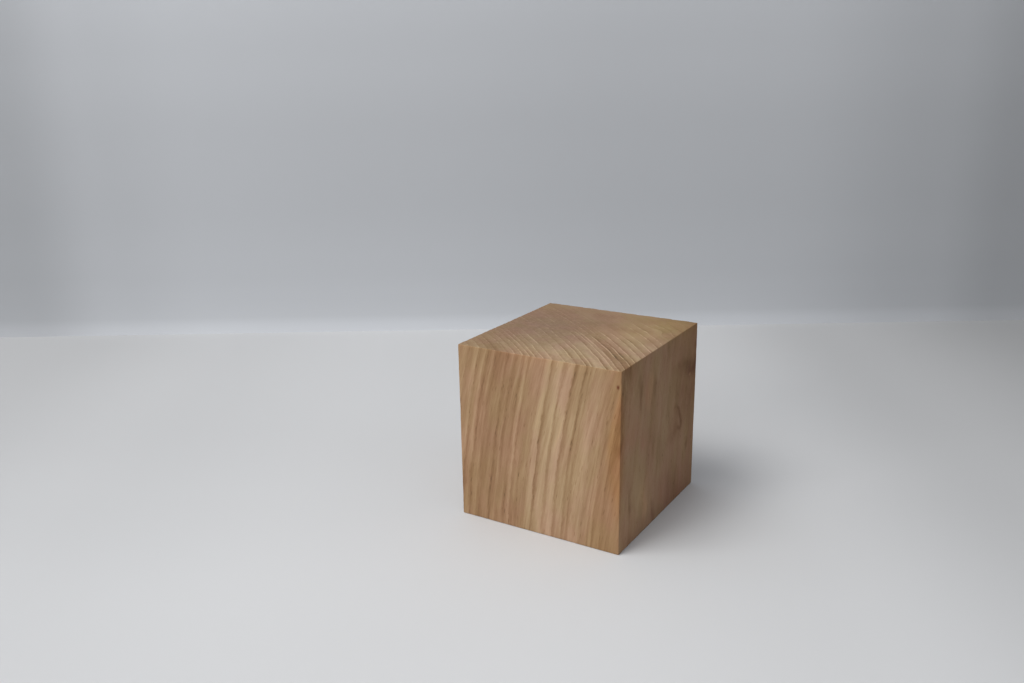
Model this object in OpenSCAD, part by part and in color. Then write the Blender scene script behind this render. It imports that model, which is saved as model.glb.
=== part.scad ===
// A solid wooden cube: one block sawn from a log, with every arris eased by hand.
// The grain runs up through the block, so its top and its base are end grain.

/* [Block] */
// Width across the front face, side to side
block_w = 97; // [30:1:200]
// Depth from the front face to the back face
block_d = 101; // [30:1:200]
// Height along the grain, from the base to the top
block_h = 100; // [30:1:200]

/* [Eased edges] */
// Radius of the four long edges, which run along the grain
long_edge_r = 0.5; // [0.2:0.1:6]
// Radius of the eight edges round the two end-grain faces
end_edge_r = 0.6; // [0.2:0.1:6]

/* [Hidden] */
// Sides of the polygon that stands for a full turn of an eased edge on screen
$fn = 64;

// A rectangle centred on the origin, with its four corners rounded to a true arc.
module rounded_rectangle(across, up, r) {
    square([across - 2 * r, up], center = true);
    square([across, up - 2 * r], center = true);
    for (x = [-1, 1], y = [-1, 1])
        translate([x * (across / 2 - r), y * (up / 2 - r)])
            circle(r = r);
}

// The block seen from above, carried up through its height.
module along_grain() {
    linear_extrude(height = block_h)
        rounded_rectangle(block_w, block_d, long_edge_r);
}

// The block seen from the front, carried through its depth.
module front_to_back() {
    translate([0, block_d / 2, block_h / 2])
        rotate([90, 0, 0])
            linear_extrude(height = block_d)
                rounded_rectangle(block_w, block_h, end_edge_r);
}

// The block seen from the right, carried through its width.
module side_to_side() {
    translate([-block_w / 2, 0, block_h / 2])
        rotate([90, 0, 90])
            linear_extrude(height = block_w)
                rounded_rectangle(block_d, block_h, end_edge_r);
}

// The cube itself: what the three outlines share, standing on its base.
module wooden_cube() {
    color("burlywood")
        intersection() {
            along_grain();
            front_to_back();
            side_to_side();
        }
}

wooden_cube();
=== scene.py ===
"""A solid wooden cube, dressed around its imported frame.

The block is one piece: a dense mesh with eased arrises, a faintly uneven surface and growth rings in slight
relief. Its wood is one solid pattern, so a ring that crosses the top runs on down the sides.
"""
import math
from collections import namedtuple

import bmesh
import bpy
from bpy.props import FloatProperty, FloatVectorProperty, IntProperty, PointerProperty
from mathutils import Euler, Matrix, Vector


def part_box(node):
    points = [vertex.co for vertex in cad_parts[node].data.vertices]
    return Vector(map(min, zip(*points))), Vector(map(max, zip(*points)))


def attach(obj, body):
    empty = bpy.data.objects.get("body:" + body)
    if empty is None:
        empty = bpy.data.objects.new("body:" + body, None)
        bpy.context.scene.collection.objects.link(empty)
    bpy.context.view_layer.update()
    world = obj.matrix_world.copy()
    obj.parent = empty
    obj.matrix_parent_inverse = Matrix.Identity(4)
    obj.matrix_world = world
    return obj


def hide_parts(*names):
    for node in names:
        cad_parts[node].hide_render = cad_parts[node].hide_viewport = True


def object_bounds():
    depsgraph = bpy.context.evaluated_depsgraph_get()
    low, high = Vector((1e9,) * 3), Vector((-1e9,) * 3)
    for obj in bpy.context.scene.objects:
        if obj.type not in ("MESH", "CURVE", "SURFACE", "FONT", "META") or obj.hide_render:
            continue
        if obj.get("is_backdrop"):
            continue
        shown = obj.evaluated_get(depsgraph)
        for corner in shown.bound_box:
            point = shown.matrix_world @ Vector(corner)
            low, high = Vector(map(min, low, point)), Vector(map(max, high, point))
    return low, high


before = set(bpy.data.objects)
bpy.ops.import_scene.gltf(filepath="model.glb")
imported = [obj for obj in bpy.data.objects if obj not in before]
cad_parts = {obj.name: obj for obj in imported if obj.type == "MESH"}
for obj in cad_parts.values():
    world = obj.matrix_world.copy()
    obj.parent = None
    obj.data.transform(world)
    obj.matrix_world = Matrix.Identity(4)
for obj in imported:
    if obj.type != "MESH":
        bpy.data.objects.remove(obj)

bl_info = {
    "name": "Wooden cube",
    "version": (1, 0, 0),
    "blender": (4, 5, 0),
    "location": "3D View > Sidebar > Wooden cube",
    "description": "Makes a solid hardwood cube with eased edges and a real figure, on a pale studio floor",
    "category": "Add Mesh",
}

NODE = "wooden_cube"
CAD_LOW, CAD_HIGH = (Vector(corner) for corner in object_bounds())
BLOCK_LOW, BLOCK_HIGH = (Vector(corner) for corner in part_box(NODE))
BLOCK_SIZE = BLOCK_HIGH - BLOCK_LOW
BLOCK_CENTRE = (BLOCK_LOW + BLOCK_HIGH) / 2
MM = 0.001

# The log. Lengths are in mm in the block's own axes. The rings are arcs about a pith that lies well outside
# the front-left edge.
MID_HEIGHT = 50.0
PITH_X = -272.0
PITH_Y = -294.0
PITH_LEAN = 0.150  # how far the pith moves along X in each mm of height
PITH_SWEEP = 0.0008  # how far it curves on top of that, for each mm of height squared
FIRST_RADIUS = 330.5  # the pith's distance from the middle of the front-left edge
FIBRE_SLANT = 0.08  # how far the fibres cross the rings in each mm of height
LAST_RING = 150.0  # growth past the far corner, where the list of years ends

# Each year's growth, going away from the pith: where it starts in mm; the lightness of its open-pored early
# wood and of its late wood, from about 0 to 1; how late in the year it lightens; and how clear a pale line it
# ends with on the end grain.
Year = namedtuple("Year", "start dark light lateness line")
YEARS = tuple(Year(*year) for year in (
    (-8.0, 0.30, 0.45, 1.0, 0.2),
    (-1.5, 0.20, 0.60, 1.0, 0.3),
    (3.0, -0.05, 0.55, 0.6, 0.3),
    (6.5, 0.00, 0.45, 0.8, 0.3),
    (10.0, 0.10, 0.40, 2.2, 0.3),
    (15.0, -0.10, 0.55, 1.2, 0.4),
    (18.5, 0.10, 0.55, 1.2, 0.7),
    (22.0, 0.10, 0.80, 1.2, 0.4),
    (25.0, 0.20, 0.55, 1.0, 0.7),
    (27.5, 0.30, 0.55, 1.0, 0.5),
    (31.0, 0.35, 1.05, 1.0, 0.8),
    (35.0, 0.10, 0.90, 0.8, 0.5),
    (40.5, 0.30, 1.00, 0.8, 0.9),
    (45.0, 0.20, 0.75, 1.0, 1.0),
    (49.5, 0.05, 0.65, 0.8, 0.7),
    (52.0, 0.40, 0.85, 0.6, 1.0),
    (58.0, 0.40, 0.60, 1.0, 0.7),
    (61.5, 0.20, 0.60, 0.8, 0.5),
    (63.5, 0.20, 0.40, 1.0, 1.0),
    (67.0, -0.05, 0.25, 1.0, 0.9),
    (70.5, 0.05, 0.40, 0.8, 0.9),
    (74.5, 0.30, 0.50, 1.0, 0.7),
    (79.0, 0.35, 0.50, 1.0, 0.4),
    (82.5, 0.10, 0.50, 0.8, 0.8),
    (87.5, 0.35, 0.50, 1.0, 0.8),
    (93.0, 0.20, 0.50, 0.8, 0.4),
    (97.5, 0.30, 0.50, 1.0, 0.4),
    (103.0, 0.15, 0.45, 0.8, 0.3),
    (109.0, 0.30, 0.40, 1.0, 0.3),
    (116.0, 0.25, 0.40, 1.0, 0.3),
    (123.0, 0.25, 0.40, 1.0, 0.3),
    (130.0, 0.20, 0.35, 1.0, 0.3),
))
YEAR_STARTS = [year.start for year in YEARS] + [LAST_RING]
EARLY_FADE = 1.5  # early wood has faded out by two thirds of the way through its year

# The list of years is kept in colour ramps as numbers from 0 to 1, so it is moved and scaled by these.
TONE_FLOOR = -0.2  # no year's lightness is lower
WIDEST_YEAR = 20.0  # no year is wider, in mm
LATEST_YEAR = 3.0  # no year's lateness is larger

# Small knots bend the rings: where each lies, how far it reaches, and how far it pulls the growth, all in mm.
KNOTS = (
    ("Knot in the right face", (50.0, 22.0, 49.0), (14.0, 10.0, 10.0), -7.0),
    ("Knot behind the right edge", (52.0, 50.0, 80.0), (20.0, 30.0, 18.0), -5.0),
    ("Swirl in the top", (36.0, 24.0, 102.0), (12.0, 10.0, 16.0), -3.5),
)
KNOT_RIM = ((50.0, 18.6, 46.2), (30.0, 11.3, 10.4))  # centre and reach of the dark rim round the first knot
KNOT_RIM_SIDE = (0.0, 0.86, 0.51)  # the side of the knot where the rim shows
KNOT_RIM_COLOUR = (0.64, 0.54, 0.40)

# Stains, one patch of painted shade and one painted highlight: where each lies and how far it reaches, in mm,
# and the colour it multiplies the wood by.
STAINS_AND_PAINTED_LIGHT = (
    ("Brown wood towards the back edge", (50.0, 46.0, 68.0), (34.0, 44.0, 60.0), (0.77, 0.685, 0.60)),
    ("Brown lead to the red heart", (50.0, 29.0, 79.5), (12.0, 17.0, 7.0), (0.76, 0.70, 0.61)),
    ("Red heart at the back edge", (50.0, 44.0, 75.5), (12.0, 14.0, 8.5), (0.58, 0.42, 0.36)),
    ("Brown edge above the red heart", (48.5, 49.5, 88.0), (4.0, 3.4, 4.8), (0.74, 0.62, 0.52)),
    # Painted highlight: a bright bluish spot where a small torn chip on the back edge catches the light.
    ("Painted highlight on a chip below the red heart", (48.5, 41.0, 71.8), (3.0, 2.2, 1.7), (1.55, 1.70, 1.95)),
    ("Hook below the right knot", (48.5, 26.9, 44.2), (8.0, 4.2, 2.0), (0.72, 0.64, 0.52)),
    ("Brown wood inside the right knot", (50.0, 20.0, 43.0), (10.0, 15.0, 8.0), (0.80, 0.74, 0.64)),
    ("Orange wood at the front edge", (53.0, -54.0, 54.0), (15.0, 14.0, 72.0), (0.95, 0.86, 0.74)),
    ("Speck near the front edge", (46.6, -50.5, 91.5), (1.2, 3.0, 1.8), (0.38, 0.12, 0.07)),
    ("Red foot of the right face", (50.0, 18.0, -4.0), (24.0, 60.0, 38.0), (0.80, 0.66, 0.70)),
    ("Brown band near the top of the right face", (48.5, -26.0, 82.0), (6.0, 3.2, 18.0), (0.70, 0.61, 0.54)),
    ("Pink wood beside it", (48.5, -16.0, 80.0), (8.0, 8.5, 15.0), (1.20, 1.10, 1.12)),
    ("Small brown mark on the right face", (48.5, -7.5, 78.5), (5.0, 3.6, 7.5), (0.70, 0.62, 0.54)),
    ("Dull corner of the right face", (48.5, -42.0, 100.0), (8.0, 18.0, 11.0), (0.86, 0.78, 0.74)),
    ("Olive slant on the right face", (48.5, -9.5, 46.0), (6.0, 4.6, 12.0), (0.80, 0.79, 0.67)),
    ("Red mottle beside it", (48.5, -21.0, 53.0), (6.0, 7.0, 9.0), (0.97, 0.85, 0.84)),
    ("Pink wood in the right face", (48.5, -38.0, 62.0), (8.0, 13.0, 13.0), (1.04, 0.95, 0.96)),
    ("Light wood low in the right face", (48.5, -21.0, 22.0), (8.0, 13.0, 15.0), (1.10, 1.07, 1.04)),
    ("Thin streak low in the right face", (48.5, -37.0, 24.0), (5.0, 2.6, 12.0), (0.76, 0.70, 0.64)),
    ("Brown foot of the right face", (48.5, -8.0, 6.0), (6.0, 4.2, 12.0), (0.72, 0.64, 0.62)),
    ("Pale streak beside the brown foot", (48.5, -19.0, 12.0), (6.0, 4.0, 15.0), (1.16, 1.10, 1.11)),
    ("Grey pink wood low in the right face", (48.5, 4.0, 12.0), (6.0, 7.0, 10.0), (1.10, 1.05, 1.10)),
    ("Small mark behind the right knot", (48.5, 39.5, 31.0), (5.0, 3.8, 7.0), (0.72, 0.64, 0.56)),
    # Painted shade, with a little of the wood's own dull grey: darker and greyer towards the rear left of the
    # top.
    ("Painted shade on the top", (-26.0, 8.0, 102.0), (60.0, 64.0, 20.0), (0.78, 0.76, 0.84)),
    ("Warm front of the top", (10.0, -52.0, 102.0), (62.0, 26.0, 12.0), (1.02, 0.985, 0.92)),
    ("Light patch on the top", (22.0, 8.0, 102.0), (34.0, 24.0, 14.0), (1.16, 1.20, 1.16)),
    ("Olive corner of the top", (40.0, 38.0, 102.0), (46.0, 42.0, 16.0), (0.94, 0.96, 0.74)),
    ("Dark streak on the near edge", (50.0, -49.0, 60.0), (5.0, 3.5, 17.0), (0.694, 0.604, 0.496)),
)
SMALL_STAIN = 5.0  # a stain that reaches less than this, in mm, keeps its own outline


def growth_at(point):
    """Distance grown away from the pith, in mm, at a point of the block in metres."""
    height = point.z / MM - MID_HEIGHT
    across = point.x / MM - PITH_X - PITH_LEAN * height - PITH_SWEEP * height * height
    return math.hypot(across, point.y / MM - PITH_Y) - FIRST_RADIUS


def early_wood_at(point):
    """How much of the open-pored early wood a point has: 1 where a year starts, fading to 0 within it."""
    growth = growth_at(point)
    for start, end in zip(YEAR_STARTS, YEAR_STARTS[1:]):
        if start <= growth < end:
            return max(0.0, 1.0 - EARLY_FADE * (growth - start) / (end - start))
    return 0.0


# ------------------------------------------------------------------------------
# Settings
# ------------------------------------------------------------------------------

class BlockSettings(bpy.types.PropertyGroup):
    """Sizes of the block's shape."""

    cells: IntProperty(
        name="Cells", description="Cells along each side of a face", default=101, min=8, max=101)
    arris_radius: FloatProperty(
        name="Arris radius", description="Radius of the eased edges", default=0.0004, unit="LENGTH")
    ring_relief: FloatProperty(
        name="Ring relief", description="How far the soft early wood lies below the late wood",
        default=0.00004, unit="LENGTH")
    unevenness: FloatProperty(
        name="Unevenness", description="How far the hand-finished faces dip", default=0.00012, unit="LENGTH")
    edge_wear: FloatProperty(
        name="Edge wear", description="Depth of the small knocks along the arrises",
        default=0.00012, unit="LENGTH")
    edge_tear: FloatProperty(
        name="Edge tear", description="Depth of the torn early wood along the top arrises",
        default=0.00024, unit="LENGTH")


class WoodSettings(bpy.types.PropertyGroup):
    """Colours of the bare wood."""

    darkest: FloatVectorProperty(
        name="Darkest", description="Early wood at its darkest", subtype="COLOR",
        default=(0.245, 0.141, 0.072), min=0, max=1)
    middle: FloatVectorProperty(
        name="Middle", description="Average wood", subtype="COLOR",
        default=(0.339, 0.216, 0.124), min=0, max=1)
    lightest: FloatVectorProperty(
        name="Lightest", description="Late wood at its lightest", subtype="COLOR",
        default=(0.432, 0.296, 0.183), min=0, max=1)


class StageSettings(bpy.types.PropertyGroup):
    """Floor, backdrop, lamps and camera."""

    floor_colour: FloatVectorProperty(
        name="Floor colour", description="Pale painted floor", subtype="COLOR",
        default=(0.64, 0.648, 0.662), min=0, max=1)
    backdrop_colour: FloatVectorProperty(
        name="Backdrop colour", description="Pale grey backdrop", subtype="COLOR",
        default=(0.475, 0.492, 0.52), min=0, max=1)
    sky_strength: FloatProperty(
        name="Sky strength", description="Strength of the even light from all round", default=0.5)
    key_power: FloatProperty(
        name="Key power", description="Power of the overhead soft box", unit="POWER", default=52.0)
    front_power: FloatProperty(
        name="Front power", description="Power of the soft box behind the camera", unit="POWER", default=39.0)
    lens: FloatProperty(
        name="Lens", description="Focal length in mm on a 36 mm wide sensor", default=33.39)


# ------------------------------------------------------------------------------
# Shader nodes
# ------------------------------------------------------------------------------

class Recipe:
    """Adds nodes to one material, so that each pattern below reads as a list of steps."""

    def __init__(self, name):
        self.material = bpy.data.materials.new(name)
        self.material.use_nodes = True
        self.tree = self.material.node_tree
        self.tree.nodes.clear()
        self.output = self.tree.nodes.new("ShaderNodeOutputMaterial")

    def node(self, kind, label, **settings):
        made = self.tree.nodes.new(kind)
        made.label = label
        for key, value in settings.items():
            setattr(made, key, value)
        return made

    def feed(self, socket, source):
        if isinstance(source, bpy.types.NodeSocket):
            self.tree.links.new(source, socket)
        else:
            socket.default_value = source

    def maths(self, operation, first, second=0.0, third=0.0, label=""):
        made = self.node("ShaderNodeMath", label, operation=operation)
        for socket, source in zip(made.inputs, (first, second, third)):
            self.feed(socket, source)
        return made.outputs[0]

    def add(self, first, second, label=""):
        return self.maths("ADD", first, second, label=label)

    def times(self, first, second, label=""):
        return self.maths("MULTIPLY", first, second, label=label)

    def sway(self, base, pattern, reach):
        """The base, moved up and down by a pattern that runs from 0 to 1: by half the reach each way."""
        return self.maths("MULTIPLY_ADD", self.add(pattern, -0.5), reach, base)

    def vector_maths(self, operation, first, second=(0.0, 0.0, 0.0), label=""):
        made = self.node("ShaderNodeVectorMath", label, operation=operation)
        self.feed(made.inputs[0], first)
        self.feed(made.inputs[1], second)
        return made.outputs["Value" if operation in ("LENGTH", "DOT_PRODUCT") else "Vector"]

    def scale(self, vector, factor, label):
        made = self.node("ShaderNodeVectorMath", label, operation="SCALE")
        self.feed(made.inputs[0], vector)
        self.feed(made.inputs["Scale"], factor)
        return made.outputs["Vector"]

    def join(self, x, y, z, label):
        made = self.node("ShaderNodeCombineXYZ", label)
        for socket, source in zip(made.inputs, (x, y, z)):
            self.feed(socket, source)
        return made.outputs[0]

    def split(self, vector, label):
        made = self.node("ShaderNodeSeparateXYZ", label)
        self.feed(made.inputs[0], vector)
        return tuple(made.outputs)

    def split_colour(self, colour, label):
        made = self.node("ShaderNodeSeparateColor", label)
        self.feed(made.inputs[0], colour)
        return tuple(made.outputs)

    def noise(self, place, stretch, label, detail=2.0, roughness=0.5):
        """Soft noise, 0 to 1 about 0.5. The stretch is one over the size of its lumps along each axis."""
        made = self.node("ShaderNodeTexNoise", label, noise_dimensions="3D")
        self.feed(made.inputs["Vector"], self.vector_maths("MULTIPLY", place, stretch))
        made.inputs["Scale"].default_value = 1.0
        made.inputs["Detail"].default_value = detail
        made.inputs["Roughness"].default_value = roughness
        return made.outputs["Fac"]

    def shift(self, place, stretch, reach, label):
        """How far soft noise moves a place along each axis: by up to half the reach each way, in mm."""
        noise = self.noise(place, stretch, label, detail=1.0)
        either_way = self.vector_maths("SUBTRACT", noise.node.outputs["Color"], (0.5, 0.5, 0.5))
        return self.vector_maths("MULTIPLY", either_way, (reach, reach, reach))

    def cells(self, place, stretch, label):
        """Distance to the middle of the nearest cell, and that cell's own random colour."""
        made = self.node("ShaderNodeTexVoronoi", label, voronoi_dimensions="3D", feature="F1")
        self.feed(made.inputs["Vector"], self.vector_maths("MULTIPLY", place, stretch))
        made.inputs["Scale"].default_value = 1.0
        made.inputs["Randomness"].default_value = 1.0
        return made.outputs["Distance"], made.outputs["Color"]

    def step(self, value, start, end, label="", low=0.0, high=1.0):
        """A smooth step from low to high as the value goes from start to end."""
        made = self.node("ShaderNodeMapRange", label, interpolation_type="SMOOTHSTEP")
        sources = {"Value": value, "From Min": start, "From Max": end, "To Min": low, "To Max": high}
        for name, source in sources.items():
            self.feed(made.inputs[name], source)
        return made.outputs[0]

    def fade(self, value, start, end, label=""):
        """A smooth fade from 1 to 0 as the value goes from start to end."""
        return self.step(value, start, end, label, 1.0, 0.0)

    def blend(self, share, first, second, label=""):
        """From the first number to the second as share goes from 0 to 1."""
        made = self.node("ShaderNodeMix", label, data_type="FLOAT", clamp_factor=True)
        self.feed(made.inputs[0], share)
        self.feed(made.inputs[2], first)
        self.feed(made.inputs[3], second)
        return made.outputs[0]

    def tint(self, share, first, second, label, blend_type="MIX"):
        """From the first colour to the second, or to their product, as share goes from 0 to 1."""
        made = self.node("ShaderNodeMix", label, data_type="RGBA", blend_type=blend_type, clamp_factor=True)
        self.feed(made.inputs[0], share)
        self.feed(made.inputs[6], first if isinstance(first, bpy.types.NodeSocket) else (*first, 1.0))
        self.feed(made.inputs[7], second if isinstance(second, bpy.types.NodeSocket) else (*second, 1.0))
        return made.outputs[2]

    def dye(self, share, colour, factor, label):
        """The colour, multiplied by a factor as far as share says."""
        return self.tint(share, colour, factor, label, "MULTIPLY")

    def ramp(self, value, stops, label, interpolation="LINEAR"):
        """A colour ramp; each stop is its position from 0 to 1 and a grey, or the parts of a colour."""
        made = self.node("ShaderNodeValToRGB", label)
        made.color_ramp.interpolation = interpolation
        points = made.color_ramp.elements
        while len(points) > 1:
            points.remove(points[-1])
        for number, (position, colour) in enumerate(stops):
            point = points[0] if number == 0 else points.new(position)
            point.position = position
            shade = tuple(colour) if isinstance(colour, (tuple, list)) else (colour, colour, colour)
            point.color = (*shade, 1.0)[:4]
        self.feed(made.inputs["Fac"], value)
        return made.outputs["Color"]

    def zones(self, value, stops, label):
        """A colour ramp whose stops stand at values, and not at positions from 0 to 1."""
        first = stops[0][0]
        span = stops[-1][0] - first
        scaled = self.maths("MULTIPLY_ADD", value, 1 / span, -first / span)
        return self.ramp(scaled, [((at - first) / span, shade) for at, shade in stops], label)

    def curve(self, value, points, label):
        """A curve of straight stretches from 0 to 1 through the points."""
        made = self.node("ShaderNodeFloatCurve", label)
        line = made.mapping.curves[0]
        line.points[0].location = points[0]
        line.points[1].location = points[-1]
        for place in points[1:-1]:
            line.points.new(*place)
        for point in line.points:
            point.handle_type = "VECTOR"
        made.mapping.update()
        self.feed(made.inputs["Value"], value)
        return made.outputs[0]


class Grain:
    """Where a point lies in the log: growth away from the pith, place round the ring, and height."""

    def __init__(self, recipe):
        self.recipe = recipe
        coordinates = recipe.node("ShaderNodeTexCoord", "Place in the block")
        self.place = recipe.scale(coordinates.outputs["Object"], 1 / MM, "In mm")
        self.x, self.y, self.z = recipe.split(self.place, "Apart")
        facing = recipe.split(coordinates.outputs["Normal"], "Which way the surface faces")
        self.end = recipe.step(recipe.maths("ABSOLUTE", facing[2]), 0.55, 0.85, "End grain")

        height = recipe.add(self.z, -MID_HEIGHT, "Above the middle")
        bend = recipe.times(recipe.times(height, height), PITH_SWEEP)
        lean = recipe.times(height, PITH_LEAN)
        pith = recipe.add(recipe.add(lean, bend), PITH_X, "Pith's X")
        across = recipe.maths("SUBTRACT", self.x, pith)
        back = recipe.add(self.y, -PITH_Y)
        radius = recipe.maths("SQRT", recipe.add(recipe.times(across, across), recipe.times(back, back)))
        self.radial = recipe.add(radius, -FIRST_RADIUS, "Growth")
        self.round = recipe.times(recipe.maths("ARCTAN2", back, across), FIRST_RADIUS, "Round the ring")
        self.straight = recipe.join(self.radial, self.round, self.z, "Along the rings")
        slant = recipe.maths("MULTIPLY_ADD", height, -FIBRE_SLANT, self.radial, label="Slant of the fibres")
        self.fibres = recipe.join(slant, self.round, self.z, "Along the fibres")

    def by_face(self, along, across, label=""):
        """One number where the grain runs along the surface, and another on the end grain."""
        return self.recipe.step(self.end, 0.0, 1.0, label, along, across)


# ------------------------------------------------------------------------------
# The wood
# ------------------------------------------------------------------------------

# Tones are lightnesses: 0 is early wood at its darkest, and 1 is late wood at its lightest.
PLAIN_TONE = 0.42  # the tone of wood whose rings are blurred
LIGHTEST_TONE = 0.88  # along the grain
CALM_FROM = 66.0  # growth, in mm, from which the figure along the grain grows calmer
EARLY_TO_LATE = ((0.0, 0.06), (0.10, 0.0), (0.20, 0.16), (0.36, 0.50), (0.60, 0.78), (0.84, 1.0), (1.0, 0.95))
BANDS = ((0.0, 0.22), (0.22, 0.28), (0.50, 0.50), (1.0, 0.60))  # early to late wood, on the end grain
VESSELS_KEPT = ((0.0, 0.62), (0.18, 0.50), (0.40, 0.16), (0.9, 0.08), (1.0, 0.35))  # through the year
COLOUR_STOPS = ((-0.5, "darkest", 0.45), (0.0, "darkest", 1.0), (0.55, "middle", 1.0), (1.0, "lightest", 1.0),
                (1.2, "lightest", 1.12))  # a tone, the setting it has the colour of, and a factor on that

# Zones of growth, in mm from the front-left edge: how clear the rings are on the end grain, and how warm the
# wood is.
CLEAR_ZONES = ((0, 0.55), (30, 0.60), (40.5, 1.0), (90, 1.0), (105, 0.60), (150, 0.45))
WARM_ZONES = ((-10, 0.55), (25, 0.50), (36, 0.12), (58, 0.12), (65, 0.75), (72, 0.85), (78, 0.40), (95, 0.32),
              (105, 0.15), (115, 0.30), (128, 0.60), (150, 0.60))
ORANGE_RING = (65.4, 66.8)  # growth, in mm, between which the orange wood begins

# Egg-shaped parts of the block: their centres and reaches, in mm.
CLEAR_CORNER = ((38.0, -34.0, 50.0), (84.0, 80.0, 200.0))
CLEAR_SWIRL = ((34.0, 24.0, 102.0), (28.0, 24.0, 40.0))
CLEAR_FRONT = ((-12.0, -50.0, 100.0), (64.0, 60.0, 60.0))
CRISP_CORNER = ((48.0, -36.0, 100.0), (36.0, 55.0, 60.0))
ORANGE_EDGE = ((52.0, -54.0, 60.0), (18.0, 12.0, 66.0))
ORANGE_BULGE = ((48.0, -50.0, 60.0), (30.0, 30.0, 40.0))

VESSEL_DEPTH = 0.45  # how deep a vessel is, as a share of the height of the fine surface
VESSEL_SHADE = 0.55  # how much darker, in tone, an open vessel is than the wood round it
SAW_PITCH = 3.6  # how closely the saw marks on the end grain lie, in radians for each step of travel
FINE_DEPTH = 0.0002  # height of the fine surface, in metres


def from_centre(recipe, place, centre, radii):
    """A place as seen from the middle of an egg-shaped patch, in units of its radii."""
    away = recipe.vector_maths("SUBTRACT", place, centre)
    return recipe.vector_maths("MULTIPLY", away, tuple(1 / radius for radius in radii))


def patch(recipe, place, centre, radii, label):
    """1 at the middle of an egg-shaped patch, fading to 0 at its skin. Centre and radii are in mm."""
    away = from_centre(recipe, place, centre, radii)
    return recipe.fade(recipe.vector_maths("LENGTH", away), 0.0, 1.0, label)


def rim(recipe, place, centre, radii, side, label):
    """1 on the skin of an egg-shaped patch, on one side of it, fading to 0 within and beyond."""
    away = from_centre(recipe, place, centre, radii)
    depth = recipe.maths("ABSOLUTE", recipe.add(recipe.vector_maths("LENGTH", away), -1.0))
    facing = recipe.vector_maths("DOT_PRODUCT", away, side)
    return recipe.times(recipe.fade(depth, 0.0, 0.24, label), recipe.step(facing, 0.50, 0.95))


def contrasted(recipe, tone, contrast):
    """A tone with more or less contrast against plain wood."""
    return recipe.add(PLAIN_TONE, recipe.times(recipe.add(tone, -PLAIN_TONE), contrast))


def wandering_growth(recipe, grain):
    """Growth as real rings wander: round the small knots, slowly along the block, and ragged at fibres."""
    growth = grain.radial
    for label, centre, radii, pull in KNOTS:
        growth = recipe.add(growth, recipe.times(patch(recipe, grain.place, centre, radii, label), pull))
    slow = recipe.noise(grain.straight, (0.035, 0.03, 0.020), "Slow wander")
    uneven = recipe.noise(grain.straight, (0.16, 0.10, 0.035), "Each ring's own wander")
    jagged = recipe.noise(grain.straight, (0.45, 0.45, 0.28), "Jagged edges")
    ragged = recipe.noise(grain.straight, (1.3, 1.3, 0.11), "Ragged fibres", detail=3.0, roughness=0.65)
    for pattern, reach in ((slow, 1.8), (uneven, 1.2)):
        growth = recipe.sway(growth, pattern, reach)
    torn = grain.by_face(1.0, 0.28, "Cleaner across the grain")
    for pattern, reach in ((jagged, 1.1), (ragged, 0.8)):
        growth = recipe.sway(growth, pattern, recipe.times(torn, reach))
    return growth


def year_of(recipe, growth):
    """The year's number and how far through that year a point grew, from 0 to 1."""
    count = len(YEARS)
    first = YEAR_STARTS[0]
    span = LAST_RING - first
    points = [((start - first) / span, number / count) for number, start in enumerate(YEAR_STARTS)]
    scaled = recipe.maths("MULTIPLY_ADD", growth, 1 / span, -first / span, label="Growth from 0 to 1")
    number = recipe.times(recipe.curve(scaled, points, "Years"), count)
    return recipe.maths("FLOOR", number), recipe.maths("FRACT", number)


class Ring:
    """What the list of years says about the year in which a point grew, and how far into it that is."""

    def __init__(self, recipe, growth):
        count = len(YEARS)
        number, self.through = year_of(recipe, growth)
        middle = recipe.maths("MULTIPLY_ADD", number, 1 / count, 0.5 / count)
        kept = [(place / count, (year.dark - TONE_FLOOR, year.light - TONE_FLOOR, year.lateness / LATEST_YEAR,
                                 year.line)) for place, year in enumerate(YEARS)]
        listed = recipe.ramp(middle, kept, "Each year", "CONSTANT")
        dark, light, lateness = recipe.split_colour(listed, "Tones and lateness")[:3]
        self.dark = recipe.add(dark, TONE_FLOOR)
        self.light = recipe.add(light, TONE_FLOOR)
        self.lateness = recipe.times(lateness, LATEST_YEAR)
        self.line = listed.node.outputs["Alpha"]
        widths = [(place / count, (end - start) / WIDEST_YEAR)
                  for place, (start, end) in enumerate(zip(YEAR_STARTS, YEAR_STARTS[1:]))]
        width = recipe.split_colour(recipe.ramp(middle, widths, "Each year's width", "CONSTANT"), "Width")[0]
        width = recipe.times(width, WIDEST_YEAR)
        self.since = recipe.times(self.through, width, "Grown this year")
        self.left = recipe.maths("SUBTRACT", width, self.since, label="Left to grow")


def long_grain_tone(recipe, grain, ring):
    """Tone of the rings along the grain: a sharp dark start to each year, then a slow lightening."""
    paced = recipe.maths("POWER", ring.through, ring.lateness, label="Pace of the year")
    profile = recipe.ramp(paced, EARLY_TO_LATE, "Early to late wood")
    softened = recipe.times(profile, recipe.step(ring.left, 0.0, 0.9, "Soft end of the year", low=0.45))
    soft_start = recipe.fade(ring.since, 0.0, 0.6, "Soft start")
    softened = recipe.maths("MULTIPLY_ADD", soft_start, 0.25, softened)
    tone = recipe.blend(softened, ring.dark, ring.light, "Tone along the grain")
    tone = recipe.maths("SMOOTH_MIN", tone, LIGHTEST_TONE, 0.30, label="No lighter than this")
    clear = recipe.step(grain.radial, CALM_FROM, CALM_FROM + 14.0, "Fainter rings beyond", 1.0, 0.28)
    changing = recipe.noise(grain.straight, (0.22, 0.10, 0.022), "Rings come and go")
    clear = recipe.times(clear, recipe.step(changing, 0.30, 0.66, low=0.60, high=1.2))
    return contrasted(recipe, tone, clear)


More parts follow.
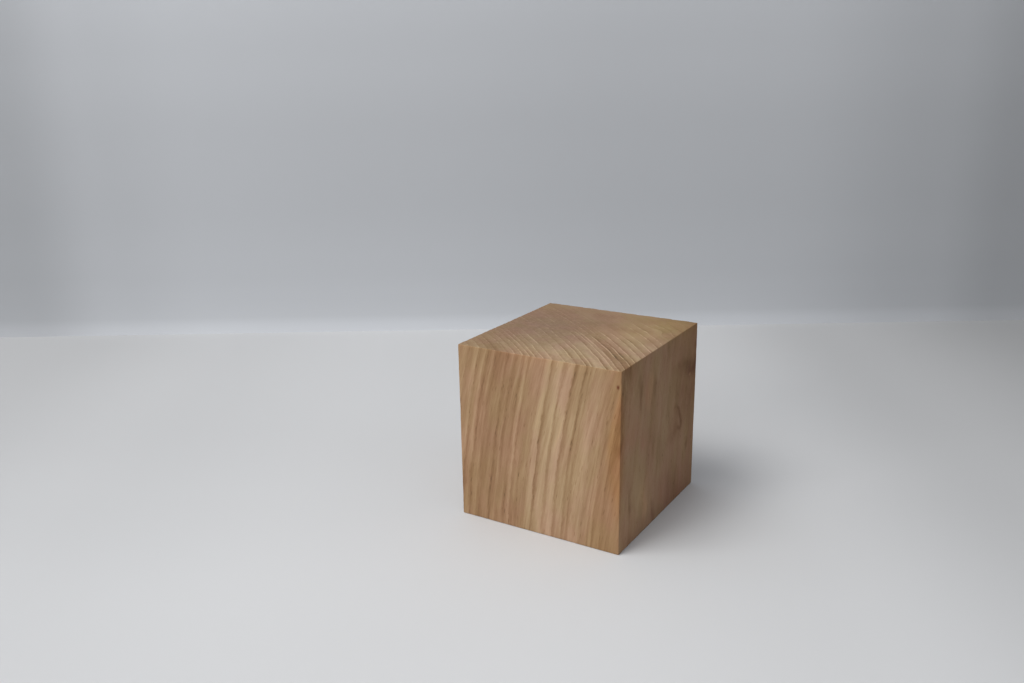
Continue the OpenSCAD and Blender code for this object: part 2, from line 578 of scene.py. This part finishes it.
def end_grain_tone(recipe, grain, ring):
    """Tone of the end grain: soft bands, each ending in a thin broken pale line with a dark one beside it."""
    near = patch(recipe, grain.place, *CLEAR_CORNER, "Where the end grain is clear")
    blotches = recipe.noise(grain.straight, (0.10, 0.06, 0.02), "Blotches", detail=1.0)
    clear = recipe.times(recipe.step(near, 0.05, 0.60, low=0.15), recipe.step(blotches, 0.25, 0.55, low=0.35))
    clear = recipe.times(clear, recipe.zones(grain.radial, CLEAR_ZONES, "Clear zones"), "How clear it is")
    for egg, share, label in ((CLEAR_SWIRL, 0.8, "Round the swirl"), (CLEAR_FRONT, 1.1, "Clear front")):
        clear = recipe.maths("MAXIMUM", clear, recipe.times(patch(recipe, grain.place, *egg, label), share))

    band = recipe.ramp(ring.through, BANDS, "Bands")
    band = recipe.blend(0.50, band, recipe.blend(0.6, ring.dark, ring.light))
    own = recipe.noise(grain.straight, (0.15, 0.018, 0.01), "Darker and lighter years")
    threads = recipe.noise(grain.straight, (1.2, 0.06, 0.02), "Threads between the rings")
    band = recipe.sway(recipe.sway(band, own, 1.5), threads, 0.30)

    dots = recipe.noise(grain.straight, (0.4, 0.32, 0.05), "Broken lines")
    coming = recipe.noise(grain.straight, (0.22, 0.05, 0.02), "Lines come and go")
    bold = recipe.step(coming, 0.38, 0.60, low=0.15, high=1.9)
    pale = recipe.fade(ring.left, 0.35, 0.80, "Pale line")
    pale = recipe.times(pale, recipe.step(dots, 0.38, 0.60, low=0.2))
    pale = recipe.times(recipe.times(pale, ring.line), bold)
    pits = recipe.fade(ring.since, 0.30, 1.7, "Dark line")
    pits = recipe.times(pits, recipe.step(dots, 0.62, 0.40, low=0.35))
    pits = recipe.times(pits, recipe.step(ring.line, 0.0, 1.0, low=0.4))
    band = recipe.maths("MULTIPLY_ADD", pale, 1.20, band)
    band = recipe.maths("MULTIPLY_ADD", pits, -0.26, band)

    band = recipe.blend(clear, PLAIN_TONE, band, "Clear and blurred bands")
    nearest = patch(recipe, grain.place, *CRISP_CORNER, "Crisp corner of the top")
    band = contrasted(recipe, band, recipe.step(nearest, 0.0, 0.7, low=1.0, high=1.55))
    # Lighter, cleaner wood towards the front right of the top. Its fade to the left partly stands in for
    # shade there, as painted shade.
    return recipe.maths("MULTIPLY_ADD", recipe.step(near, 0.1, 0.8, "Cleaner wood and painted shade"), 0.22, band)


def fibre_tone(recipe, grain):
    """Fine streaks along the fibres, calmer in the outer wood and on the end grain."""
    fine = recipe.noise(grain.fibres, (2.2, 2.2, 0.12), "Fine fibres", detail=3.0, roughness=0.6)
    lines = recipe.noise(grain.fibres, (1.0, 1.0, 0.032), "Fine lines", detail=1.0)
    broad = recipe.noise(grain.fibres, (0.35, 0.35, 0.026), "Broad streaks")
    tone = recipe.times(recipe.add(fine, -0.5), grain.by_face(0.44, 0.10))
    tone = recipe.sway(recipe.sway(tone, lines, 0.60), broad, 0.70)
    outer = recipe.step(grain.radial, CALM_FROM, CALM_FROM + 16.0, "In the outer wood")
    tone = recipe.times(tone, recipe.step(outer, 0.0, 1.0, "Calmer streaks", 1.0, 0.36))
    tone = recipe.times(tone, grain.by_face(1.0, 0.7))
    slow = recipe.noise(grain.place, (0.030, 0.030, 0.018), "Slow drift", detail=1.0)
    soft = recipe.noise(grain.straight, (0.075, 0.075, 0.032), "Soft clouds", detail=3.0)
    tone = recipe.sway(recipe.sway(tone, slow, 0.50), soft, recipe.times(outer, 0.75))
    smears = recipe.noise(grain.straight, (0.13, 0.13, 0.022), "Soft dark smears", detail=3.0, roughness=0.6)
    smeared = recipe.times(recipe.step(outer, 0.0, 1.0, low=0.05, high=0.16), grain.by_face(1.0, 0.3))
    return recipe.maths("SUBTRACT", tone, recipe.times(recipe.step(smears, 0.48, 0.72), smeared))


def vessels(recipe, grain, ring):
    """Open vessels: short dark strokes along the grain and dots across it, crowded in the early wood."""
    crowding = recipe.ramp(ring.through, VESSELS_KEPT, "Crowding")
    gap, colour = recipe.cells(grain.fibres, (1.6, 1.6, 0.20), "Vessels along the grain")
    luck = recipe.split_colour(colour, "Luck of each vessel")
    kept = recipe.maths("LESS_THAN", luck[0], crowding)
    strokes = recipe.times(recipe.fade(gap, 0.18, 0.46, "Stroke"), kept)
    depth = recipe.maths("MULTIPLY_ADD", recipe.maths("POWER", luck[1], 3.0), 0.8, 0.2)
    gap, colour = recipe.cells(grain.straight, (1.9, 1.9, 0.02), "Vessels across the grain")
    luck = recipe.split_colour(colour, "Luck of each vessel")
    kept = recipe.maths("LESS_THAN", luck[0], crowding)
    dots = recipe.times(recipe.fade(gap, 0.12, 0.42, "Dot"), kept)
    return recipe.blend(grain.end, recipe.times(strokes, depth), recipe.times(dots, 0.6), "Open vessels")


def warmth_of(recipe, grain):
    """How warm the wood is: 0 for neutral wood in the middle, 1 for orange wood near the front edge."""
    drift = recipe.zones(grain.radial, WARM_ZONES, "Warmth of each zone")
    orange = patch(recipe, grain.place, *ORANGE_EDGE, "Orange wood at the front edge")
    bulge = recipe.times(patch(recipe, grain.place, *ORANGE_BULGE, "Its edge"), 1.5)
    from_one_ring = recipe.step(recipe.add(grain.radial, bulge), *ORANGE_RING, "From one ring on")
    orange = recipe.times(recipe.step(orange, 0.05, 0.5), from_one_ring)
    streaks = recipe.noise(grain.straight, (0.09, 0.09, 0.02), "Warm streaks")
    warmth = recipe.maths("MULTIPLY_ADD", orange, 1.5, recipe.sway(drift, streaks, 0.7))
    return recipe.times(warmth, grain.by_face(1.0, 0.45, "Less on end grain"))


def wood_colour(recipe, grain, settings, tone, warmth):
    """The colour that goes with a tone, made warmer or more neutral, and stained, with one patch of painted
    shade and one painted highlight among the stains.
    """
    colours = {"darkest": settings.darkest, "middle": settings.middle, "lightest": settings.lightest}
    stops = [(at, tuple(factor * part for part in colours[name])) for at, name, factor in COLOUR_STOPS]
    colour = recipe.zones(tone, stops, "Wood colours")
    colour = recipe.dye(recipe.times(warmth, 0.5), colour, (1.0, 0.87, 0.72), "Warm")
    mottle = recipe.noise(grain.straight, (0.085, 0.085, 0.035), "Pink and olive mottle", detail=3.0)
    mottle = recipe.step(mottle, 0.34, 0.66)
    shade = recipe.tint(mottle, (1.008, 0.960, 1.000), (0.980, 1.012, 0.945), "Mottle colours")
    colour = recipe.dye(1.0, colour, shade, "Mottled")
    colour = recipe.dye(grain.end, colour, (1.0, 1.04, 1.08), "Greyer end grain")

    ragged = recipe.noise(grain.straight, (0.30, 0.30, 0.08), "Ragged stain", detail=3.0)
    ragged = recipe.step(ragged, 0.30, 0.58, low=0.72)
    wander = recipe.shift(grain.place, (0.11, 0.11, 0.08), 9.0, "Wandering outlines")
    place = recipe.vector_maths("ADD", grain.place, wander)
    for label, centre, radii, shade in STAINS_AND_PAINTED_LIGHT:
        if max(radii) < SMALL_STAIN:
            where = patch(recipe, grain.place, centre, radii, label)
        else:
            where = recipe.times(patch(recipe, place, centre, radii, label), ragged)
        colour = recipe.dye(where, colour, shade, label)
    wander = recipe.shift(grain.place, (0.33, 0.33, 0.22), 3.4, "Rough outline")
    place = recipe.vector_maths("ADD", place, wander)
    bark = recipe.times(rim(recipe, place, *KNOT_RIM, KNOT_RIM_SIDE, "Dark rim of the right knot"), ragged)
    return recipe.dye(bark, colour, KNOT_RIM_COLOUR, "Dark rim")


def wood_surface(recipe, grain, tone, strokes):
    """Height of the fine surface: open vessels are pits, fibres stand, and a saw has crossed the ends."""
    fuzz = recipe.noise(grain.straight, (3.0, 3.0, 0.25), "Raised fibres", detail=3.0, roughness=0.7)
    height = recipe.add(recipe.times(tone, 0.16), recipe.times(fuzz, 0.5))
    height = recipe.maths("MULTIPLY_ADD", strokes, -VESSEL_DEPTH, height)
    wobble = recipe.noise(grain.place, (0.05, 0.05, 0.05), "Saw wobble", detail=1.0)
    travel = recipe.add(recipe.times(grain.x, 0.55), recipe.times(grain.y, 0.18))
    travel = recipe.maths("MULTIPLY_ADD", wobble, 3.0, travel)
    marks = recipe.times(recipe.maths("SINE", recipe.times(travel, SAW_PITCH)), 0.16, "Saw marks")
    return recipe.maths("MULTIPLY_ADD", marks, grain.end, height)


def wood_material(settings):
    """Bare hardwood, as one solid pattern."""
    recipe = Recipe("raw_hardwood")
    grain = Grain(recipe)
    ring = Ring(recipe, wandering_growth(recipe, grain))
    tone = recipe.blend(grain.end, long_grain_tone(recipe, grain, ring), end_grain_tone(recipe, grain, ring))
    tone = recipe.add(tone, fibre_tone(recipe, grain))
    strokes = vessels(recipe, grain, ring)
    tone = recipe.maths("MULTIPLY_ADD", strokes, -VESSEL_SHADE, tone)
    shader = recipe.node("ShaderNodeBsdfPrincipled", "Bare wood")
    colour = wood_colour(recipe, grain, settings, tone, warmth_of(recipe, grain))
    recipe.feed(shader.inputs["Base Color"], colour)
    recipe.feed(shader.inputs["Roughness"], recipe.step(tone, 0.0, 1.0, "Late wood is smoother", 0.74, 0.62))
    shader.inputs["Specular IOR Level"].default_value = 0.25
    bump = recipe.node("ShaderNodeBump", "Fine surface")
    bump.inputs["Strength"].default_value = 0.35
    bump.inputs["Distance"].default_value = FINE_DEPTH
    recipe.feed(bump.inputs["Height"], wood_surface(recipe, grain, tone, strokes))
    recipe.feed(shader.inputs["Normal"], bump.outputs[0])
    recipe.feed(recipe.output.inputs["Surface"], shader.outputs[0])
    return recipe.material


# ------------------------------------------------------------------------------
# The block
# ------------------------------------------------------------------------------

ARRIS_SEGMENTS = 3
SMOOTH_ANGLE = 35  # degrees
DIP_SIZE = 0.035  # metres, like the other sizes here
KNOCK_SIZE = 0.0045
KNOCK_CONTRAST = 1.8
KNOCK_REACH = 0.0012  # how far from an arris it is knocked
TEAR_SIZE = 0.0025
TEAR_CONTRAST = 2.2
TEAR_REACH = 0.0018  # how far from an arris it is torn
TEAR_DEPTH = 0.0015  # how far below the top it is torn


def deselect_everything():
    for thing in list(bpy.context.selected_objects):
        thing.select_set(False)


def on_an_arris(edge, clearance=1e-6):
    """True for an edge that lies along one of the block's twelve arrises."""
    sides = 0
    for axis in range(3):
        places = [vertex.co[axis] for vertex in edge.verts]
        for wall in (BLOCK_LOW[axis], BLOCK_HIGH[axis]):
            if all(abs(place - wall) < clearance for place in places):
                sides += 1
    return sides >= 2


def start_block(settings):
    """The sawn block: a box at its size and place, divided into cells, with its arrises eased."""
    deselect_everything()
    bpy.ops.mesh.primitive_cube_add(size=1, location=BLOCK_CENTRE, scale=BLOCK_SIZE)
    block = bpy.context.object
    block.name = "hardwood_block"
    block.data.name = "hardwood_block"
    bpy.ops.object.transform_apply(location=True, rotation=True, scale=True)
    bpy.ops.object.mode_set(mode="EDIT")
    bpy.ops.mesh.select_all(action="SELECT")
    bpy.ops.mesh.subdivide(number_cuts=settings.cells - 1)
    bpy.ops.mesh.select_all(action="DESELECT")
    bpy.ops.mesh.select_mode(type="EDGE")
    shape = bmesh.from_edit_mesh(block.data)
    for edge in shape.edges:
        edge.select = on_an_arris(edge)
    shape.select_flush_mode()
    bmesh.update_edit_mesh(block.data)
    bpy.ops.mesh.bevel(
        offset=settings.arris_radius, segments=ARRIS_SEGMENTS, profile=0.5, clamp_overlap=False)
    bpy.ops.object.mode_set(mode="OBJECT")
    return block


def weigh(block, name, weight_at):
    """A vertex group that holds weight_at(place) for each vertex."""
    group = block.vertex_groups.new(name=name)
    for vertex in block.data.vertices:
        group.add([vertex.index], weight_at(vertex.co), "REPLACE")


def press_in(block, name, depth, group, texture=None):
    """Moves the surface inwards by up to depth, where the group and the texture say, and applies it."""
    modifier = block.modifiers.new(name, "DISPLACE")
    modifier.direction = "NORMAL"
    modifier.vertex_group = group
    modifier.strength = -depth
    modifier.mid_level = 0.0
    if texture:
        modifier.texture = texture
        modifier.texture_coords = "LOCAL"
    bpy.ops.object.modifier_apply(modifier=modifier.name)


def clouds(name, size, contrast=1.0):
    texture = bpy.data.textures.new(name, "CLOUDS")
    texture.noise_scale = size
    texture.noise_depth = 2
    texture.contrast = contrast
    texture.use_clamp = True
    return texture


def arris_closeness(reach):
    """A weight that is 1 on an arris and fades to 0 at reach from it."""
    def weight(place):
        gaps = sorted(min(abs(place[axis] - BLOCK_LOW[axis]), abs(place[axis] - BLOCK_HIGH[axis]))
                      for axis in range(3))
        return max(0.0, 1.0 - gaps[1] / reach)
    return weight


def soft_arris_at(place):
    """Where a top arris crosses early wood, and so is torn a little."""
    if BLOCK_HIGH.z - place.z < TEAR_DEPTH:
        return arris_closeness(TEAR_REACH)(place) * early_wood_at(place)
    return 0.0


class WOODENCUBE_OT_block(bpy.types.Operator):
    """Makes the hardwood block and its bare-wood material, in place of the plain solid"""

    bl_idname = "wooden_cube.block"
    bl_label = "Hardwood block"

    def execute(self, context):
        settings = context.scene.wooden_cube_block
        block = start_block(settings)
        weigh(block, "early_wood", early_wood_at)
        weigh(block, "whole_block", lambda place: 1.0)
        weigh(block, "arrises", arris_closeness(KNOCK_REACH))
        weigh(block, "soft_arrises", soft_arris_at)
        dips = clouds("gentle_dips", DIP_SIZE)
        knocks = clouds("small_knocks", KNOCK_SIZE, KNOCK_CONTRAST)
        tears = clouds("small_tears", TEAR_SIZE, TEAR_CONTRAST)
        press_in(block, "Soft early wood", settings.ring_relief, "early_wood")
        press_in(block, "Uneven faces", settings.unevenness, "whole_block", dips)
        press_in(block, "Knocked arrises", settings.edge_wear, "arrises", knocks)
        press_in(block, "Torn early wood", settings.edge_tear, "soft_arrises", tears)
        bpy.ops.object.shade_smooth_by_angle(angle=math.radians(SMOOTH_ANGLE))
        block.data.materials.append(wood_material(context.scene.wooden_cube_wood))
        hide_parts(NODE)
        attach(block, "root")
        return {"FINISHED"}


# ------------------------------------------------------------------------------
# The stage
# ------------------------------------------------------------------------------

CAMERA_PLACE = Vector((0.23483, -0.44924, 0.2480))
CAMERA_TURN = 31.97  # degrees round the vertical, from looking along +Y
CAMERA_TILT = 16.77  # degrees below the horizon
CAMERA_ROLL = -0.98
SENSOR_WIDTH = 36  # mm
WALL_GAP = 0.36  # from the block's middle to the backdrop, along the camera's direction
WALL_HEIGHT = 4.0
STAGE_REACH = 9.0  # how far the floor reaches each way
SKY_COLOUR = (0.99, 1.0, 1.02, 1.0)
LAMP_COLOUR = (1.0, 0.985, 0.96)
KEY_PLACE = (-0.90, -1.35, 2.75)
KEY_SIZE = 1.6
FRONT_PLACE = (-0.90, -3.40, 1.00)
FRONT_SIZE = 1.7

# How bright the paint looks, as painted light: a place in metres and a factor. The factors are a painted
# fall-off of light, darker to the sides and away, and painted light thrown up from the floor. Across runs to
# the right in the view, away runs from the camera along the floor, and up runs up the backdrop, which is
# brightest where it meets the floor.
FLOOR_PAINTED_LIGHT_ACROSS = ((-0.9, 0.72), (-0.45, 0.82), (-0.30, 0.92), (-0.15, 0.985), (0.0, 1.0), (0.12, 0.965),
                (0.25, 0.79), (0.45, 0.60), (0.9, 0.40))
FLOOR_PAINTED_LIGHT_AWAY = ((-0.3, 1.06), (-0.12, 1.04), (0.0, 1.0), (0.12, 0.97), (0.36, 0.95))
WALL_PAINTED_LIGHT_ACROSS = ((-0.9, 0.74), (-0.49, 0.77), (-0.41, 0.94), (-0.32, 1.0), (-0.15, 0.985), (0.10, 0.93),
               (0.20, 0.925), (0.35, 0.79), (0.42, 0.67), (0.9, 0.40))
WALL_PAINTED_LIGHT_UP = ((0.0, 1.35), (0.004, 1.32), (0.016, 1.13), (0.03, 1.08), (0.06, 1.03), (0.12, 0.985), (0.18, 1.0),
           (0.25, 1.07), (0.32, 1.16), (0.6, 1.2))
PAINT_REACH = 1.0  # metres each way that the ramps of these factors cover
BRIGHTEST = 2  # no factor is larger, and the ramps hold them divided by this


def view_turn():
    return Matrix.Rotation(math.radians(CAMERA_TURN), 4, "Z")


def painted_light_along(recipe, place, direction, factors, label):
    """The painted light factor that a list gives for how far a point lies along a direction."""
    metres = recipe.vector_maths("DOT_PRODUCT", place, tuple(direction), label)
    half = 0.5 / PAINT_REACH
    stops = [(0.5 + half * at, factor / BRIGHTEST) for at, factor in factors]
    scaled = recipe.maths("MULTIPLY_ADD", metres, half, 0.5)
    return recipe.times(recipe.ramp(scaled, stops, label, "EASE"), BRIGHTEST)


def matt_paint_with_painted_light(name, colour, across, direction, along):
    """Flat pale paint, slightly uneven, with painted light: a list of factors across the view and one along a
    direction.
    """
    recipe = Recipe(name)
    place = recipe.node("ShaderNodeTexCoord", "Place").outputs["Object"]
    drift = recipe.noise(place, (3.0, 3.0, 3.0), "Slow drift", detail=1.0)
    shade = recipe.step(drift, 0.2, 0.8, "Unevenness", 0.985, 1.015)
    # Painted light: these factors darken the paint to the sides and away, and lighten the backdrop where it
    # meets the floor.
    shade = recipe.times(shade, painted_light_along(recipe, place, view_turn() @ Vector((1, 0, 0)), across, "Across"))
    shade = recipe.times(shade, painted_light_along(recipe, place, direction, along, "Along"))
    shader = recipe.node("ShaderNodeBsdfPrincipled", "Paint")
    recipe.feed(shader.inputs["Base Color"], recipe.scale(tuple(colour), shade, "Paint colour"))
    shader.inputs["Roughness"].default_value = 0.8
    shader.inputs["Specular IOR Level"].default_value = 0.2
    recipe.feed(recipe.output.inputs["Surface"], shader.outputs[0])
    return recipe.material


def make_floor(settings):
    deselect_everything()
    bpy.ops.mesh.primitive_plane_add(size=2 * STAGE_REACH, location=(0, 0, CAD_LOW.z))
    floor = bpy.context.object
    floor.name = "studio_floor"
    bpy.ops.object.transform_apply(location=True, rotation=True, scale=True)
    floor.data.materials.append(matt_paint_with_painted_light(
        "floor_paint_with_painted_light", settings.floor_colour, FLOOR_PAINTED_LIGHT_ACROSS, view_turn() @ Vector((0, 1, 0)), FLOOR_PAINTED_LIGHT_AWAY))
    floor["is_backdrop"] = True


def make_backdrop(settings):
    deselect_everything()
    bpy.ops.mesh.primitive_plane_add(size=1, location=(0, 0, 0), rotation=(math.radians(90), 0, 0))
    wall = bpy.context.object
    wall.name = "studio_backdrop"
    wall.scale = (2 * STAGE_REACH, WALL_HEIGHT, 1)
    wall.location = (0, WALL_GAP, CAD_LOW.z + WALL_HEIGHT / 2)
    bpy.ops.object.transform_apply(location=True, rotation=True, scale=True)
    wall.data.transform(view_turn())
    wall.data.materials.append(matt_paint_with_painted_light(
        "backdrop_paint_with_painted_light", settings.backdrop_colour, WALL_PAINTED_LIGHT_ACROSS, Vector((0, 0, 1)), WALL_PAINTED_LIGHT_UP))
    wall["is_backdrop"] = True


def soft_box(name, place, power, size):
    """A square area lamp that faces the block."""
    deselect_everything()
    bpy.ops.object.light_add(type="AREA", location=place)
    lamp = bpy.context.object
    lamp.name = name
    lamp.data.energy = power
    lamp.data.shape = "SQUARE"
    lamp.data.size = size
    lamp.data.color = LAMP_COLOUR
    lamp.rotation_euler = (BLOCK_CENTRE - Vector(place)).to_track_quat("-Z", "Y").to_euler()


def make_world(settings):
    world = bpy.data.worlds.new("studio_air")
    bpy.context.scene.world = world
    world.use_nodes = True
    sky = world.node_tree.nodes["Background"]
    sky.inputs["Color"].default_value = SKY_COLOUR
    sky.inputs["Strength"].default_value = settings.sky_strength


def make_camera(settings):
    deselect_everything()
    bpy.ops.object.camera_add(location=CAMERA_PLACE)
    camera = bpy.context.object
    camera.name = "studio_camera"
    aim = Euler((math.radians(90 - CAMERA_TILT), 0, math.radians(CAMERA_TURN))).to_matrix()
    roll = Matrix.Rotation(math.radians(CAMERA_ROLL), 3, "Z")
    camera.rotation_euler = (aim @ roll).to_euler()
    camera.data.sensor_width = SENSOR_WIDTH
    camera.data.lens = settings.lens
    camera.data.clip_start = 0.01
    camera.data.clip_end = 50
    bpy.context.scene.camera = camera


class WOODENCUBE_OT_stage(bpy.types.Operator):
    """Makes the pale floor and backdrop, the soft lamps and the camera"""

    bl_idname = "wooden_cube.stage"
    bl_label = "Studio stage"

    def execute(self, context):
        settings = context.scene.wooden_cube_stage
        make_floor(settings)
        make_backdrop(settings)
        soft_box("overhead_soft_box", KEY_PLACE, settings.key_power, KEY_SIZE)
        soft_box("front_soft_box", FRONT_PLACE, settings.front_power, FRONT_SIZE)
        make_world(settings)
        make_camera(settings)
        context.scene.view_settings.view_transform = "Standard"
        return {"FINISHED"}


# ------------------------------------------------------------------------------
# Panel and registration
# ------------------------------------------------------------------------------

class WOODENCUBE_PT_panel(bpy.types.Panel):
    """Settings and makers of the wooden cube"""

    bl_idname = "WOODENCUBE_PT_panel"
    bl_label = "Wooden cube"
    bl_space_type = "VIEW_3D"
    bl_region_type = "UI"
    bl_category = "Wooden cube"

    def draw(self, context):
        for operator, group in (("wooden_cube.block", context.scene.wooden_cube_block),
                                ("wooden_cube.block", context.scene.wooden_cube_wood),
                                ("wooden_cube.stage", context.scene.wooden_cube_stage)):
            box = self.layout.box()
            for name in group.__annotations__:
                box.prop(group, name)
            box.operator(operator)


CLASSES = (
    BlockSettings, WoodSettings, StageSettings, WOODENCUBE_OT_block, WOODENCUBE_OT_stage, WOODENCUBE_PT_panel)


def register():
    for made in CLASSES:
        bpy.utils.register_class(made)
    bpy.types.Scene.wooden_cube_block = PointerProperty(type=BlockSettings)
    bpy.types.Scene.wooden_cube_wood = PointerProperty(type=WoodSettings)
    bpy.types.Scene.wooden_cube_stage = PointerProperty(type=StageSettings)


def unregister():
    del bpy.types.Scene.wooden_cube_stage
    del bpy.types.Scene.wooden_cube_wood
    del bpy.types.Scene.wooden_cube_block
    for made in reversed(CLASSES):
        bpy.utils.unregister_class(made)


def main():
    register()
    bpy.ops.wooden_cube.block()
    bpy.ops.wooden_cube.stage()


if __name__ == "__main__":
    main()
